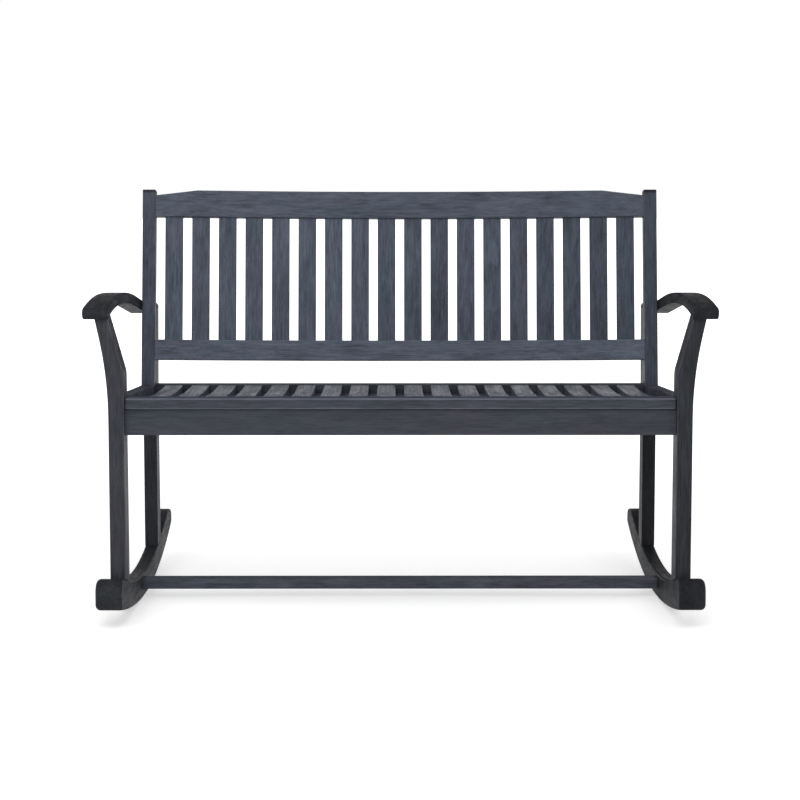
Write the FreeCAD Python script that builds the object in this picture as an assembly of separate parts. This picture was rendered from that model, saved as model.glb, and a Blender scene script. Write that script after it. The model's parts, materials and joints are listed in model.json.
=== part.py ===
import FreeCAD, Part
import math
import os

from FreeCAD import Placement, Rotation, Vector

# A slatted two-seat rocking bench of painted hardwood.
# Millimetres and degrees. +Z is up, +X is to the right as seen from the front,
# and the front faces -Y. The floor is Z = 0 and the origin lies under the middle of the bench.

# Overall layout
frame_width = 1148.0
leg_spread = 541.0
toe_overhang = 50.0
heel_overhang = 221.0
board_thickness = 29.0
edge_radius = 2.0

# Rockers
sole_front_radius = 1960.0
sole_rear_radius = 1490.0
rocker_top_front_radius = 1440.0
rocker_top_rear_radius = 1220.0
rocker_middle_height = 50.0
rocker_low_setback = 350.5
rocker_edge_radius = 4.0
toe_top_radius = 26.0
toe_bottom_radius = 11.0
heel_shoulder_length = 105.0
heel_shoulder_radius = 170.0
heel_top_radius = 20.0
heel_bottom_radius = 8.0
toe_block_width = 24.0
toe_block_length = 106.0
toe_block_edge_radius = 10.0

# Front legs
front_leg_width = 31.0
front_leg_depth = 55.0
front_leg_flare = 29.5
front_leg_knee_height = 503.0
front_leg_knee_radius = 60.0
front_leg_curve_start = 415.0
front_leg_curve_radius = 760.0
front_leg_curve_angle = 12.0

# Rear legs
rear_leg_depth = 55.0
rear_leg_top_depth = 41.0
rear_leg_top_height = 612.0

# Seat
seat_height = 452.0
seat_rear_height = 430.0
cap_thickness = 22.0
cap_setback = 10.0
cap_edge_radius = 4.0
apron_height = 52.0
apron_thickness = 25.0
apron_setback = 17.0
seat_rear_rail_thickness = 29.0
seat_rear_rail_rise = 0.6
scoop_depth = 24.5
scoop_radius = 3500.0
scoop_low_from_rear = 93.0
slat_count = 18
slat_width = 40.0
seat_slat_thickness = 20.0
seat_slat_gap = 0.5
slat_side_gap = 21.0
slat_housing = 2.0
bearer_depth = 30.0
bearer_height = 25.0
bearer_stub = 8.0
middle_bearer_from_rear = 214.0

# Back
back_lean = 9.25
back_height = 434.6
top_rail_height = 60.0
top_rail_corner_drop = 12.2
top_rail_corner_run = 93.0
bottom_rail_height = 45.0
bottom_rail_rise = 53.8
back_rail_thickness = 24.0
back_rail_setback = 2.0
back_bow = 29.0
rounding_stop = 3.0
back_slat_thickness = 13.0
back_slat_recess = 5.0

# Arms
arm_thickness = 23.0
arm_peak_height = 626.5
arm_peak_from_front = 193.0
arm_front_radius = 1050.0
arm_rear_radius = 1900.0
arm_rear_slope = 8.0
arm_nose_overhang = 15.0
arm_inner_front_step = 4.0
arm_front_width = 50.0
arm_rear_width = 38.0
arm_rear_overhang = 17.8
arm_edge_radius = 3.0

# Stretcher between the rockers
stretcher_setback = 276.0
stretcher_depth = 35.0
stretcher_height = 22.3
stretcher_bottom_height = 18.8

# Joints
tenon_thickness = 12.0
rail_tenon_length = 12.0
leg_tenon_depth = 35.0
foot_tenon_length = 22.0
arm_tenon_length = 13.0
slat_tenon_length = 12.0
tenon_shoulder = 10.0

# Fasteners
bolt_radius = 3.0
bolt_length = 60.0
bolt_head_radius = 5.0
bolt_head_height = 6.0
bolt_socket_radius = 2.7
bolt_socket_depth = 3.5
bolt_clearance = 0.25
counterbore_depth = 6.5
counterbore_radius = 5.5
barrel_radius = 5.0
barrel_length = 16.0
barrel_from_bolt_end = 8.0
apron_bolt_edge = 14.0
rear_bolt_from_face = 17.0
screw_radius = 2.25
screw_length = 35.0
screw_head_radius = 4.25
screw_head_height = 3.0
screw_grip_stile = 15.0
screw_grip_arm = 16.0
stile_screw_rises = (40.0, 140.0)
arm_screw_spacing = 20.0

# How far a cutter runs past the face it cuts
cut_margin = 1.0

# Places that follow from the sizes above
half_width = frame_width / 2
inner_half = half_width - board_thickness
overall_depth = toe_overhang + leg_spread + rear_leg_depth + heel_overhang
toe_y = -overall_depth / 2
heel_y = overall_depth / 2
front_leg_y = toe_y + toe_overhang
front_leg_back_y = front_leg_y + front_leg_depth
rear_leg_y = front_leg_y + leg_spread
rear_leg_back_y = rear_leg_y + rear_leg_depth
rocker_low_y = front_leg_y + rocker_low_setback
shoulder_y = heel_y - heel_shoulder_length
cap_y = front_leg_y + cap_setback
cap_back_y = front_leg_back_y
apron_y = front_leg_y + apron_setback
apron_back_y = apron_y + apron_thickness
apron_top = seat_height - cap_thickness
apron_bottom = apron_top - apron_height
front_inner_half = half_width - front_leg_width
scoop_low_y = rear_leg_y - scoop_low_from_rear
scoop_low_z = seat_height - scoop_depth
seat_slope = (seat_height - seat_rear_height) / (rear_leg_y - cap_y)
slat_pitch = (2 * inner_half - 2 * slat_side_gap - slat_width) / (slat_count - 1)
arm_peak_y = front_leg_y + arm_peak_from_front
stretcher_y = front_leg_y + stretcher_setback


def block(x0, x1, y0, y1, z0, z1):
    return Part.makeBox(x1 - x0, y1 - y0, z1 - z0, Vector(x0, y0, z0))


def rod(radius, start, direction, length):
    return Part.makeCylinder(radius, length, start, direction)


def fuse_all(shapes):
    result = shapes[0]
    for shape in shapes[1:]:
        result = result.fuse(shape)
    return result.removeSplitter()


def cut_all(shape, tools):
    for tool in tools:
        shape = shape.cut(tool)
    return shape


def mirrored(shape):
    return shape.mirror(Vector(0, 0, 0), Vector(1, 0, 0))


def eased(shape, radius, edges=None):
    return shape.makeFillet(radius, edges or shape.Edges)


def arc(start, middle, end):
    return Part.Arc(start, middle, end).toShape()


def line(start, end):
    return Part.makeLine(start, end)


def prism(edges, direction):
    return Part.Face(Part.Wire(edges)).extrude(direction)


def circle_z(y, centre_y, centre_z, radius, side):
    # Height of a circle at y: side is -1 for its lower half and +1 for its upper half.
    return centre_z + side * math.sqrt(radius ** 2 - (y - centre_y) ** 2)


# Heights along the curved boards

def sole_z(y):
    # The sole is two arcs that meet at its lowest point, under the bench's centre of gravity.
    radius = sole_front_radius if y < rocker_low_y else sole_rear_radius
    return circle_z(y, rocker_low_y, radius, radius, -1)


def rocker_top_z(y):
    # Two arcs like the sole's, then a shoulder that curves over towards the heel.
    if y > shoulder_y:
        sine = (shoulder_y - rocker_low_y) / rocker_top_rear_radius
        centre_y = shoulder_y + heel_shoulder_radius * sine
        drop = heel_shoulder_radius * math.sqrt(1 - sine ** 2)
        return circle_z(y, centre_y, rocker_top_z(shoulder_y) - drop, heel_shoulder_radius, 1)
    radius = rocker_top_front_radius if y < rocker_low_y else rocker_top_rear_radius
    return circle_z(y, rocker_low_y, rocker_middle_height + radius, radius, -1)


def seat_top_z(y):
    return circle_z(y, scoop_low_y, scoop_low_z + scoop_radius, scoop_radius, -1)


def seat_rail_top_z(y):
    return seat_height - (y - cap_y) * seat_slope


def arm_under_z(y):
    # An arc ahead of the peak, a wider arc behind it, and a straight end.
    slope = math.radians(arm_rear_slope)
    straight_y = arm_peak_y + arm_rear_radius * math.sin(slope)
    radius = arm_front_radius if y < arm_peak_y else arm_rear_radius
    on_arc = circle_z(min(y, straight_y), arm_peak_y, arm_peak_height - radius, radius, 1)
    return on_arc - max(y - straight_y, 0) * math.tan(slope)


def arcs_along(x, stations, height):
    # Arcs in the plane X = x that pass through height(y) at each station and halfway between.
    result = []
    for y0, y1 in zip(stations, stations[1:]):
        points = [Vector(x, y, height(y)) for y in (y0, (y0 + y1) / 2, y1)]
        result.append(arc(*points))
    return result


def curved_band(x, stations, lower, upper, upper_stations=None):
    # Closed outline in the plane X = x between two curves.
    start, end = stations[0], stations[-1]
    ends = [
        line(Vector(x, start, lower(start)), Vector(x, start, upper(start))),
        line(Vector(x, end, lower(end)), Vector(x, end, upper(end))),
    ]
    edges = arcs_along(x, stations, lower) + arcs_along(x, upper_stations or stations, upper)
    return Part.__sortEdges__(edges + ends)


def same(a, b):
    return abs(a - b) < 0.01


def lengthwise(shape, axis, least=2.0):
    # The edges that extend along the named axis by more than the least length.
    return [e for e in shape.Edges if getattr(e.BoundBox, axis + "Length") > least]


def edges_at_x(shape, x):
    return [e for e in shape.Edges if same(e.BoundBox.XMin, x) and same(e.BoundBox.XMax, x)]


def edge_across_x(shape, y, high):
    # The edge that runs along X at the given y, the upper or the lower one.
    found = [e for e in lengthwise(shape, "X") if same(e.BoundBox.YMin, y) and same(e.BoundBox.YMax, y)]
    found.sort(key=lambda e: e.BoundBox.ZMin)
    return found[-1] if high else found[0]


# Rockers and their toe blocks

def rocker_blank(x0, x1, stations, top_stations=None):
    # A piece of the rocker's curve from the toe back to the last station, with a rounded toe.
    outline = curved_band(x0, stations, sole_z, rocker_top_z, top_stations)
    blank = prism(outline, Vector(x1 - x0, 0, 0))
    blank = eased(blank, toe_top_radius, [edge_across_x(blank, toe_y, True)])
    return eased(blank, toe_bottom_radius, [edge_across_x(blank, toe_y, False)])


def rocker_board():
    # The board stays square where the toe block lies against it, so the two make one round toe.
    stations = (toe_y, rocker_low_y, heel_y)
    top_stations = (toe_y, rocker_low_y, shoulder_y, heel_y)
    blank = rocker_blank(inner_half, half_width, stations, top_stations)
    blank = eased(blank, heel_top_radius, [edge_across_x(blank, heel_y, True)])
    blank = eased(blank, heel_bottom_radius, [edge_across_x(blank, heel_y, False)])
    inner_eased = eased(blank, rocker_edge_radius, edges_at_x(blank, inner_half))
    both_eased = eased(inner_eased, rocker_edge_radius, edges_at_x(inner_eased, half_width))
    split_y = toe_y + toe_block_length
    reach = overall_depth
    front_space = block(0, frame_width, toe_y - reach, split_y, -reach, reach)
    rear_space = block(0, frame_width, split_y, heel_y + reach, -reach, reach)
    return fuse_all([inner_eased.common(front_space), both_eased.common(rear_space)])


def toe_block():
    outer_x = half_width + toe_block_width
    end_y = toe_y + toe_block_length
    blank = rocker_blank(half_width, outer_x, (toe_y, end_y))
    blank = eased(blank, toe_bottom_radius, [edge_across_x(blank, end_y, True)])
    return eased(blank, toe_block_edge_radius, edges_at_x(blank, outer_x))


def under_rocker_top():
    # Everything below the rocker's upper face as far as the shoulder, to cut the feet of the legs.
    front_floor = Vector(0, toe_y, -rocker_middle_height)
    rear_floor = Vector(0, shoulder_y, -rocker_middle_height)
    edges = arcs_along(0, (toe_y, rocker_low_y, shoulder_y), rocker_top_z) + [
        line(Vector(0, toe_y, rocker_top_z(toe_y)), front_floor),
        line(front_floor, rear_floor),
        line(rear_floor, Vector(0, shoulder_y, rocker_top_z(shoulder_y))),
    ]
    return prism(Part.__sortEdges__(edges), Vector(frame_width, 0, 0))


def foot_tenon(leg_y, leg_depth, centre_x):
    centre_y = leg_y + leg_depth / 2
    y0 = centre_y - leg_tenon_depth / 2
    y1 = centre_y + leg_tenon_depth / 2
    top = max(rocker_top_z(leg_y), rocker_top_z(leg_y + leg_depth))
    bottom = min(rocker_top_z(y0), rocker_top_z(y1)) - foot_tenon_length
    return block(centre_x - tenon_thickness / 2, centre_x + tenon_thickness / 2, y0, y1, bottom, top)


# Front legs

def front_leg_outline(y):
    # Front view: straight below the seat, then sweeping outwards to meet the arm.
    inner_x = half_width - front_leg_width
    top_z = arm_peak_height
    arm_z = arm_under_z(front_leg_y)
    lean = math.atan2(front_leg_flare, arm_z - front_leg_knee_height)
    knee_cut = front_leg_knee_radius * math.tan(lean / 2)
    knee_low = Vector(inner_x, y, front_leg_knee_height - knee_cut)
    knee_bow = knee_cut * math.tan(lean / 4)
    knee = Vector(inner_x, y, front_leg_knee_height)
    knee_high = knee + Vector(math.sin(lean), 0, math.cos(lean)) * knee_cut
    chord_middle = (knee_low + knee_high) / 2
    knee_middle = chord_middle + Vector(-math.cos(lean / 2), 0, math.sin(lean / 2)) * knee_bow
    inner_top = Vector(inner_x + (top_z - front_leg_knee_height) * math.tan(lean), y, top_z)

    sweep = math.radians(front_leg_curve_angle)
    radius = front_leg_curve_radius
    curve_low = Vector(half_width, y, front_leg_curve_start)

    def on_curve(angle):
        rise = radius * math.sin(angle)
        return Vector(half_width + radius * (1 - math.cos(angle)), y, front_leg_curve_start + rise)

    curve_high = on_curve(sweep)
    outer_top = Vector(curve_high.x + (top_z - curve_high.z) * math.tan(sweep), y, top_z)
    inner_bottom = Vector(inner_x, y, 0)
    outer_bottom = Vector(half_width, y, 0)
    return [
        line(inner_bottom, knee_low),
        arc(knee_low, knee_middle, knee_high),
        line(knee_high, inner_top),
        line(inner_top, outer_top),
        line(outer_top, curve_high),
        arc(curve_high, on_curve(sweep / 2), curve_low),
        line(curve_low, outer_bottom),
        line(outer_bottom, inner_bottom),
    ]


def front_leg():
    blank = prism(front_leg_outline(front_leg_y), Vector(0, front_leg_depth, 0))
    blank = eased(blank, edge_radius, lengthwise(blank, "Z"))
    body = blank.cut(arm_space()).cut(under_rocker_top())
    return fuse_all([body, front_foot_tenon(), arm_tenon()])


def front_foot_tenon():
    return foot_tenon(front_leg_y, front_leg_depth, (inner_half + half_width) / 2)


def arm_tenon():
    centre_y = front_leg_y + front_leg_depth / 2
    y0 = centre_y - leg_tenon_depth / 2
    y1 = centre_y + leg_tenon_depth / 2
    x0 = front_leg_top_x() - tenon_thickness / 2
    seat = min(arm_under_z(y0), arm_under_z(y1))
    return block(x0, x0 + tenon_thickness, y0, y1, seat - cut_margin, seat + arm_tenon_length)


def front_leg_top_x():
    # Middle of the leg's upper end, between its flared inner face and its swept outer face.
    arm_z = arm_under_z(front_leg_y)
    sweep = math.radians(front_leg_curve_angle)
    curve_x = half_width + front_leg_curve_radius * (1 - math.cos(sweep))
    curve_z = front_leg_curve_start + front_leg_curve_radius * math.sin(sweep)
    outer_x = curve_x + (arm_z - curve_z) * math.tan(sweep)
    inner_x = half_width - front_leg_width + front_leg_flare
    return (inner_x + outer_x) / 2


# Rear legs, upright below the seat and leaning with the back above it

def lean_point(x, rise, depth):
    # A point in the back's own frame: rise runs up the leaning back, depth runs rearwards.
    lean = math.radians(back_lean)
    y = rear_leg_y + rise * math.sin(lean) + depth * math.cos(lean)
    z = seat_rear_height + rise * math.cos(lean) - depth * math.sin(lean)
    return Vector(x, y, z)


def to_back(shape):
    # Moves a shape drawn with X across, Y as depth and Z as rise into the leaning back.
    placed = shape.copy()
    lean = Placement(Vector(0, rear_leg_y, seat_rear_height), Rotation(Vector(1, 0, 0), -back_lean))
    placed.Placement = lean.multiply(placed.Placement)
    return placed


def post_top_rise():
    return (rear_leg_top_height - seat_rear_height) / math.cos(math.radians(back_lean))


def rear_leg():
    lean = math.radians(back_lean)
    x = inner_half
    bend_back_z = seat_rear_height - rear_leg_depth * math.tan(lean / 2)
    top = post_top_rise()
    points = [
        Vector(x, rear_leg_y, 0),
        Vector(x, rear_leg_y, seat_rear_height),
        lean_point(x, top, 0),
        lean_point(x, top, rear_leg_top_depth),
        Vector(x, rear_leg_back_y, bend_back_z),
        Vector(x, rear_leg_back_y, 0),
    ]
    edges = [line(a, b) for a, b in zip(points, points[1:] + points[:1])]
    blank = prism(edges, Vector(board_thickness, 0, 0))
    top_end = [e for e in lengthwise(blank, "X") if e.BoundBox.ZMin > seat_rear_height + cut_margin]
    blank = eased(blank, edge_radius, lengthwise(blank, "Z") + top_end)
    body = blank.cut(under_rocker_top())
    return fuse_all([body, rear_foot_tenon()])


def rear_foot_tenon():
    return foot_tenon(rear_leg_y, rear_leg_depth, (inner_half + half_width) / 2)


# Arms

def arm_profile(x, grow=0.0):
    # Side view: an arched board with a round nose; grow thickens it upwards.
    upper = arm_thickness + grow
    nose_radius = arm_thickness / 2
    reach = arm_peak_y - (front_leg_y - arm_nose_overhang) - nose_radius
    front_angle = math.asin(reach / (arm_front_radius + nose_radius))
    rear_angle = math.radians(arm_rear_slope)
    rear_y = lean_point(0, post_top_rise(), rear_leg_top_depth).y + arm_rear_overhang
    straight = (rear_y - arm_peak_y) / math.cos(rear_angle) - arm_rear_radius * math.tan(rear_angle)

    def on_arch(radius, angle, height):
        centre_z = arm_peak_height - radius
        y = arm_peak_y + (radius + height) * math.sin(angle)
        return Vector(x, y, centre_z + (radius + height) * math.cos(angle))

    front = -front_angle
    under_front = on_arch(arm_front_radius, front, 0)
    under_peak = Vector(x, arm_peak_y, arm_peak_height)
    under_bend = on_arch(arm_rear_radius, rear_angle, 0)
    top_bend = on_arch(arm_rear_radius, rear_angle, upper)
    run = Vector(0, math.cos(rear_angle), -math.sin(rear_angle)) * straight
    top_peak = Vector(x, arm_peak_y, arm_peak_height + upper)
    top_front = on_arch(arm_front_radius, front, upper)
    nose_centre = on_arch(arm_front_radius, front, nose_radius)
    along = Vector(0, -math.cos(front_angle), -math.sin(front_angle))
    nose_tip = nose_centre + along * nose_radius
    edges = [
        arc(under_front, on_arch(arm_front_radius, front / 2, 0), under_peak),
        arc(under_peak, on_arch(arm_rear_radius, rear_angle / 2, 0), under_bend),
        line(under_bend, under_bend + run),
        line(under_bend + run, top_bend + run),
        line(top_bend + run, top_bend),
        arc(top_bend, on_arch(arm_rear_radius, rear_angle / 2, upper), top_peak),
        arc(top_peak, on_arch(arm_front_radius, front / 2, upper), top_front),
    ]
    if grow:
        return edges + [line(top_front, under_front)]
    return edges + [arc(top_front, nose_tip, under_front)]


def arm_plan():
    # Plan view: the inner edge lies on the post and the stile, then sweeps inwards to the nose,
    # and the outer edge tapers to the rear.
    nose_y = front_leg_y - arm_nose_overhang - cut_margin
    stile_y = rear_leg_y - board_thickness
    rear_y = lean_point(0, post_top_rise(), rear_leg_top_depth).y + arm_rear_overhang + arm_thickness
    length = stile_y - nose_y
    radius = (length ** 2 + arm_inner_front_step ** 2) / (2 * arm_inner_front_step)

    def inner(y):
        return Vector(half_width - radius + math.sqrt(radius ** 2 - (stile_y - y) ** 2), y, 0)

    inner_nose = inner(nose_y)
    outer_nose = inner_nose + Vector(arm_front_width, 0, 0)
    outer_rear = Vector(half_width + arm_rear_width, rear_y, 0)
    inner_rear = Vector(half_width, rear_y, 0)
    edges = [
        arc(inner_nose, inner((nose_y + stile_y) / 2), inner(stile_y)),
        line(inner(stile_y), inner_rear),
        line(inner_rear, outer_rear),
        line(outer_rear, outer_nose),
        line(outer_nose, inner_nose),
    ]
    return prism(edges, Vector(0, 0, 2 * arm_peak_height))


def arm_blank():
    across = Vector(arm_front_width + 2 * board_thickness, 0, 0)
    board = prism(arm_profile(half_width - board_thickness), across)
    return board.common(arm_plan())


def arm_space():
    # Everything from the arm's underside upwards, to cut the top of the front leg.
    grow = 4 * arm_thickness
    across = Vector(arm_front_width + 2 * board_thickness, 0, 0)
    x0 = half_width - board_thickness
    body = prism(arm_profile(x0, grow), across)
    return body.fuse(prism(arm_profile(x0), across))


def arm_board():
    blank = arm_blank()
    return eased(blank, arm_edge_radius, [e for e in blank.Edges if not smooth_join(e)])


def smooth_join(edge):
    # Edges ahead of the arm's rear end that only divide one curve from the next, across or upright.
    box = edge.BoundBox
    return max(box.YLength, 0.5 * arm_thickness) < max(box.XLength, box.ZLength) and box.YMin < rear_leg_y


# Seat

def side_rail():
    x = inner_half
    points = [
        Vector(x, front_leg_back_y, apron_bottom),
        Vector(x, rear_leg_y, apron_bottom),
        Vector(x, rear_leg_y, seat_rail_top_z(rear_leg_y)),
        Vector(x, front_leg_back_y, seat_rail_top_z(front_leg_back_y)),
    ]
    edges = [line(a, b) for a, b in zip(points, points[1:] + points[:1])]
    blank = prism(edges, Vector(board_thickness, 0, 0))
    body = eased(blank, edge_radius, lengthwise(blank, "Y"))
    return fuse_all([body] + side_rail_tenons())


def side_rail_tenons():
    centre_x = (inner_half + half_width) / 2
    x0 = centre_x - tenon_thickness / 2
    x1 = centre_x + tenon_thickness / 2
    z0 = apron_bottom + tenon_shoulder
    z1 = seat_rear_height - tenon_shoulder
    front = block(x0, x1, front_leg_back_y - rail_tenon_length, front_leg_back_y + cut_margin, z0, z1)
    rear = block(x0, x1, rear_leg_y - cut_margin, rear_leg_y + rail_tenon_length, z0, z1)
    return [front, rear]


def seat_cap():
    blank = block(-front_inner_half, front_inner_half, cap_y, cap_back_y, apron_top, seat_height)
    return eased(blank, cap_edge_radius)


def seat_apron():
    blank = block(-front_inner_half, front_inner_half, apron_y, apron_back_y, apron_bottom, apron_top)
    return eased(blank, edge_radius, lengthwise(blank, "X"))


def seat_rear_rail():
    top = seat_rear_height + seat_rear_rail_rise
    back_y = rear_leg_y + seat_rear_rail_thickness
    blank = block(-inner_half, inner_half, rear_leg_y, back_y, apron_bottom, top)
    return eased(blank, edge_radius, lengthwise(blank, "X"))


def bearer(y, top):
    reach = inner_half + bearer_stub
    return block(-reach, reach, y, y + bearer_depth, top - bearer_height, top)


def bearer_top(y):
    return seat_top_z(y + bearer_depth / 2) - seat_slat_thickness + slat_housing


def bearers():
    starts = (front_leg_back_y, rear_leg_y - middle_bearer_from_rear, rear_leg_y - bearer_depth)
    return [bearer(y, bearer_top(y)) for y in starts]


def slat_x(index):
    return (index - (slat_count - 1) / 2) * slat_pitch


def seat_slat(index):
    x0 = slat_x(index) - slat_width / 2
    y0 = cap_back_y + seat_slat_gap
    y1 = rear_leg_y - seat_slat_gap
    edges = curved_band(x0, (y0, y1), lambda y: seat_top_z(y) - seat_slat_thickness, seat_top_z)
    return eased(prism(edges, Vector(slat_width, 0, 0)), edge_radius)


# Back, drawn upright in its own frame and leaned afterwards

def back_stile():
    blank = block(inner_half, half_width, -board_thickness, 0, -board_thickness, back_height)
    upper = [e for e in blank.Edges if e.BoundBox.ZMax > 0]
    return to_back(eased(blank, edge_radius, upper))


def bow_depth(x):
    # How far the rails' front face lies behind its ends at x.
    radius = bow_radius()
    return math.sqrt(radius ** 2 - x ** 2) - math.sqrt(radius ** 2 - inner_half ** 2)


def bow_radius():
    return (inner_half ** 2 + back_bow ** 2) / (2 * back_bow)


def bow_angle(x):
    return math.degrees(math.asin(x / bow_radius()))


def bent(section, start_x, end_x):
    # Sweeps a section that lies at x = 0 round the bow's upright axis, from one x to the other.
    front = back_rail_setback - board_thickness
    axis = Vector(0, front + back_bow - bow_radius(), 0)
    turned = section.copy()
    turned.rotate(axis, Vector(0, 0, 1), -bow_angle(start_x))
    return turned.revolve(axis, Vector(0, 0, 1), bow_angle(start_x) - bow_angle(end_x))


def bowed_band(rise0, rise1, round_top=True):
    # A bowed board longer than the rail. The rounding of its long edges stops short of the stiles.
    front = back_rail_setback - board_thickness + back_bow
    slab = block(0, board_thickness, front, front + back_rail_thickness, rise0, rise1)
    long_edges = lengthwise(slab, "X")
    if not round_top:
        long_edges = [e for e in long_edges if e.BoundBox.ZMax < rise1]
    stop_x = inner_half - rounding_stop
    rounded = [f for f in eased(slab, edge_radius, long_edges).Faces if f.BoundBox.XMax < cut_margin][0]
    square = [f for f in slab.Faces if f.BoundBox.XMax < cut_margin][0]
    right_end = bent(square, half_width, stop_x)
    left_end = bent(square, -stop_x, -half_width)
    return fuse_all([bent(rounded, stop_x, -stop_x), right_end, left_end])


def between_stiles(blank):
    # Trims a bowed board to the stiles' inner faces, after its long edges are eased.
    reach = 2 * back_height
    return blank.common(block(-inner_half, inner_half, -reach, reach, -reach, reach))


def rail_tenons(rise0, rise1):
    centre = back_rail_setback - board_thickness + back_rail_thickness / 2
    y0 = centre - tenon_thickness / 2
    y1 = centre + tenon_thickness / 2
    z0 = rise0 + tenon_shoulder
    z1 = rise1 - tenon_shoulder
    right = block(inner_half - cut_margin, inner_half + rail_tenon_length, y0, y1, z0, z1)
    return [right, mirrored(right)]


def bottom_rail():
    rise0 = bottom_rail_rise
    rise1 = bottom_rail_rise + bottom_rail_height
    body = between_stiles(bowed_band(rise0, rise1))
    return to_back(fuse_all([body] + rail_tenons(rise0, rise1)))


def top_rail():
    rise0 = back_height - top_rail_height
    corner = back_height - top_rail_corner_drop
    depth0 = -2 * board_thickness
    depth1 = 2 * board_thickness
    run_x = inner_half - top_rail_corner_run
    end_rise = corner - board_thickness * top_rail_corner_drop / top_rail_corner_run
    points = [
        Vector(-half_width, depth0, rise0),
        Vector(half_width, depth0, rise0),
        Vector(half_width, depth0, end_rise),
        Vector(run_x, depth0, back_height),
        Vector(-run_x, depth0, back_height),
        Vector(-half_width, depth0, end_rise),
    ]
    edges = [line(a, b) for a, b in zip(points, points[1:] + points[:1])]
    face_view = prism(edges, Vector(0, depth1 - depth0, 0))
    blank = bowed_band(rise0, back_height, round_top=False).common(face_view)
    upper = [e for e in lengthwise(blank, "X") if e.BoundBox.ZMax > rise0 + top_rail_height / 2]
    body = between_stiles(eased(blank, edge_radius, upper))
    return to_back(fuse_all([body] + rail_tenons(rise0, corner)))


def back_slat(index):
    x = slat_x(index)
    depth0 = back_rail_setback - board_thickness + back_slat_recess
    rise0 = bottom_rail_rise + bottom_rail_height - slat_tenon_length
    rise1 = back_height - top_rail_height + slat_tenon_length
    blank = block(-slat_width / 2, slat_width / 2, 0, back_slat_thickness, rise0, rise1)
    slat = eased(blank, edge_radius, lengthwise(blank, "Z"))
    turn = Rotation(Vector(0, 0, 1), -bow_angle(x))
    slat.Placement = Placement(Vector(x, depth0 + bow_depth(x), 0), turn)
    return to_back(slat)


# Stretcher

def stretcher():
    z1 = stretcher_bottom_height + stretcher_height
    y1 = stretcher_y + stretcher_depth
    blank = block(-inner_half, inner_half, stretcher_y, y1, stretcher_bottom_height, z1)
    return eased(blank, edge_radius, lengthwise(blank, "X"))


# Fasteners: socket bolts through the side frames into barrel nuts, and wood screws

def bolt_seat_x():
    return half_width - counterbore_depth


def bolt_spots():
    # y, z and the barrel nut's direction for each bolt on the right-hand side.
    apron_mid_y = apron_y + apron_thickness / 2
    rear_mid_y = rear_leg_y + rear_bolt_from_face
    heights = (apron_bottom + apron_bolt_edge, apron_top - apron_bolt_edge)
    spots = [(apron_mid_y, z, Vector(0, 1, 0)) for z in heights]
    spots += [(rear_mid_y, z, Vector(0, 1, 0)) for z in heights]
    stretcher_mid_z = stretcher_bottom_height + stretcher_height / 2
    spots.append((stretcher_y + stretcher_depth / 2, stretcher_mid_z, Vector(0, 0, -1)))
    return spots


def bolt(y, z):
    seat = bolt_seat_x()
    shank = rod(bolt_radius, Vector(seat - bolt_length, y, z), Vector(1, 0, 0), bolt_length)
    head = rod(bolt_head_radius, Vector(seat, y, z), Vector(1, 0, 0), bolt_head_height)
    bottom = Vector(seat + bolt_head_height - bolt_socket_depth, y, z)
    socket = rod(bolt_socket_radius, bottom, Vector(1, 0, 0), bolt_socket_depth)
    return shank.fuse(head).cut(socket).removeSplitter()


def bolt_hole(y, z):
    seat = bolt_seat_x()
    radius = bolt_radius + bolt_clearance
    length = bolt_length + bolt_clearance
    hole = rod(radius, Vector(seat - length, y, z), Vector(1, 0, 0), length + cut_margin)
    bore = rod(counterbore_radius, Vector(seat, y, z), Vector(1, 0, 0), counterbore_depth + board_thickness)
    return hole.fuse(bore)


def barrel_nut(y, z, direction):
    x = bolt_seat_x() - bolt_length + barrel_from_bolt_end
    start = Vector(x, y, z) - direction * (barrel_length / 2)
    body = rod(barrel_radius, start, direction, barrel_length)
    return body.cut(rod(bolt_radius, Vector(x - 2 * barrel_radius, y, z), Vector(1, 0, 0), 4 * barrel_radius))


def barrel_hole(y, z, direction):
    x = bolt_seat_x() - bolt_length + barrel_from_bolt_end
    start = Vector(x, y, z) - direction * (barrel_length / 2)
    return rod(barrel_radius, start, direction, barrel_length + board_thickness)


def screw(tip, direction):
    # A screw that points along direction and ends at tip.
    start = tip - direction * screw_length
    head = rod(screw_head_radius, start, direction, screw_head_height)
    shank = rod(screw_radius, start, direction, screw_length)
    return head.fuse(shank).removeSplitter()


def screw_hole(tip, direction, recess):
    # The screw's own space, with the head's bore carried back by recess.
    start = tip - direction * screw_length
    shank = rod(screw_radius, start, direction, screw_length)
    bore = rod(screw_head_radius, start - direction * recess, direction, recess + screw_head_height)
    return shank.fuse(bore)


def slat_screws():
    up = Vector(0, 0, 1)
    result = []
    for board in bearers():
        box = board.BoundBox
        for index in range(slat_count):
            tip = Vector(slat_x(index), (box.YMin + box.YMax) / 2, box.ZMin + screw_length)
            result.append((tip, up, cut_margin))
    return result


def stile_screws():
    forward = lean_point(0, 0, -1) - lean_point(0, 0, 0)
    x = (inner_half + half_width) / 2
    recess = rear_leg_depth - screw_length + screw_grip_stile + cut_margin
    return [(lean_point(x, rise, -screw_grip_stile), forward, recess) for rise in stile_screw_rises]


def arm_screws():
    outward = Vector(1, 0, 0)
    recess = board_thickness - screw_length + screw_grip_arm + cut_margin
    middle_rise = post_top_rise() - arm_thickness
    result = []
    for side in (-1, 1):
        y = lean_point(0, middle_rise, rear_leg_top_depth / 2).y + side * arm_screw_spacing / 2
        z = arm_under_z(y) + arm_thickness / 2
        result.append((Vector(half_width + screw_grip_arm, y, z), outward, recess))
    return result


def both_sides(shapes):
    return shapes + [mirrored(shape) for shape in shapes]


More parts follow.
